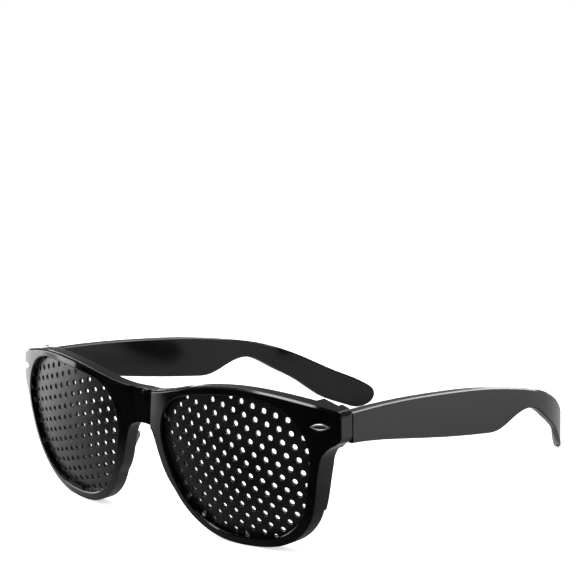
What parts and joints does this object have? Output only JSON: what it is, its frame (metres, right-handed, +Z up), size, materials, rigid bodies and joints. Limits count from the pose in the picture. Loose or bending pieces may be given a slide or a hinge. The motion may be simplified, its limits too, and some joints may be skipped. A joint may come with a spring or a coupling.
{
  "type": "pinhole glasses",
  "caption": "Black pinhole glasses with bowed perforated plates in place of lenses, moulded nose pads, and two side arms that fold on barrel hinges.",
  "frame": {"origin": "Middle of the bounding box in X and Y, at the height of the surface that the open glasses stand on.", "axes": "+X to the wearer's left hand as seen from the front (the viewer's right), +Y from the front towards the ears, along the longest extent, +Z up, the shortest extent. YZ is the mirror plane."},
  "size_m": [0.1448, 0.1627, 0.0495],
  "materials": {
    "frame_plastic": "polished",
    "arm_plastic": "polished",
    "plate_plastic": "satin",
    "ornament_metal": "satin",
    "hinge_metal": "satin"
  },
  "bodies": {
    "front": {"front_frame": "frame_plastic", "left_plate": "plate_plastic", "right_plate": "plate_plastic", "left_ornament": "ornament_metal", "right_ornament": "ornament_metal", "left_front_leaf": "hinge_metal", "right_front_leaf": "hinge_metal"},
    "left_arm": {"left_temple": "arm_plastic", "left_temple_leaf": "hinge_metal", "left_screw": "hinge_metal"},
    "right_arm": {"right_temple": "arm_plastic", "right_temple_leaf": "hinge_metal", "right_screw": "hinge_metal"}
  },
  "joints": [
    {"name": "left_fold", "type": "hinge", "parent": "front", "child": "left_arm", "pos_m": [-0.0671, -0.06305, 0.0392], "axis": [0, 0, -1], "range_deg": [0, 82]},
    {"name": "right_fold", "type": "hinge", "parent": "front", "child": "right_arm", "pos_m": [0.0671, -0.06305, 0.0392], "axis": [0, 0, 1], "range_deg": [0, 66]}
  ]
}
